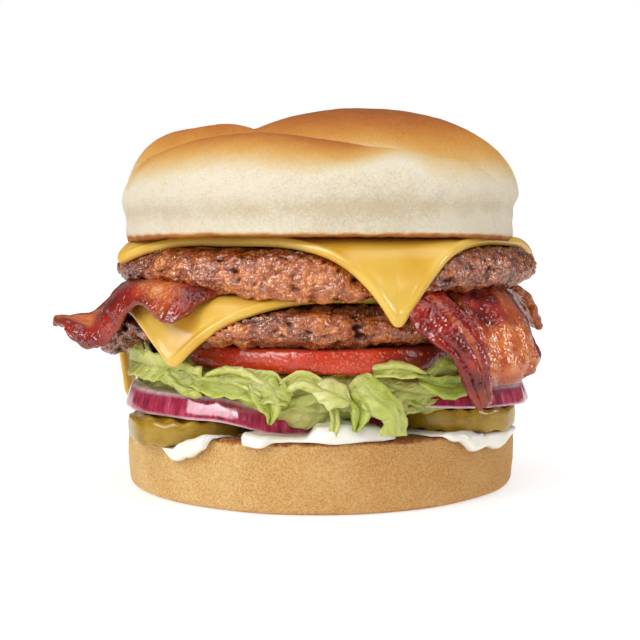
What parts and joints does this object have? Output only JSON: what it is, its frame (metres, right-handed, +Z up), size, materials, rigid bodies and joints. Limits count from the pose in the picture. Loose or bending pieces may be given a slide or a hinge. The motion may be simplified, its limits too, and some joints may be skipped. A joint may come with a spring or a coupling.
{
  "type": "bacon cheeseburger",
  "caption": "Double bacon cheeseburger in a folded soft roll, with cheese slices, bacon, tomato, shredded lettuce, red onion rings, pickle chips and mayonnaise, built to stand alone.",
  "frame": {"origin": "middle of the heel's flat bottom", "axes": "+Z up through the stack, +X to the right and +Y to the back as seen from the shown side"},
  "size_m": [0.1331, 0.1094, 0.1008],
  "materials": {
    "bread": "soft baked bread crust, golden on top and floury at the sides",
    "mayonnaise": "thick glossy white sauce",
    "pickle": "wet olive green pickle",
    "onion": "shiny magenta onion skin with pale cut edges",
    "lettuce": "crisp ribbed leaf",
    "tomato": "wet red tomato skin",
    "beef": "seared ground beef, rough and glistening",
    "cheese": "smooth melted cheese with a soft shine",
    "bacon": "fried bacon, glossy lean with paler fat"
  },
  "bodies": {
    "root": {"heel": "bread", "mayonnaise": "mayonnaise", "pickle_left": "pickle", "pickle_right": "pickle", "pickle_rear": "pickle", "onion_left": "onion", "onion_right": "onion", "lettuce": "lettuce", "tomato": "tomato", "patty_lower": "beef", "cheese_lower": "cheese", "bacon_left": "bacon", "bacon_front": "bacon", "bacon_right": "bacon", "bacon_rear": "bacon", "patty_upper": "beef", "cheese_upper": "cheese", "crown": "bread"}
  },
  "joints": []
}
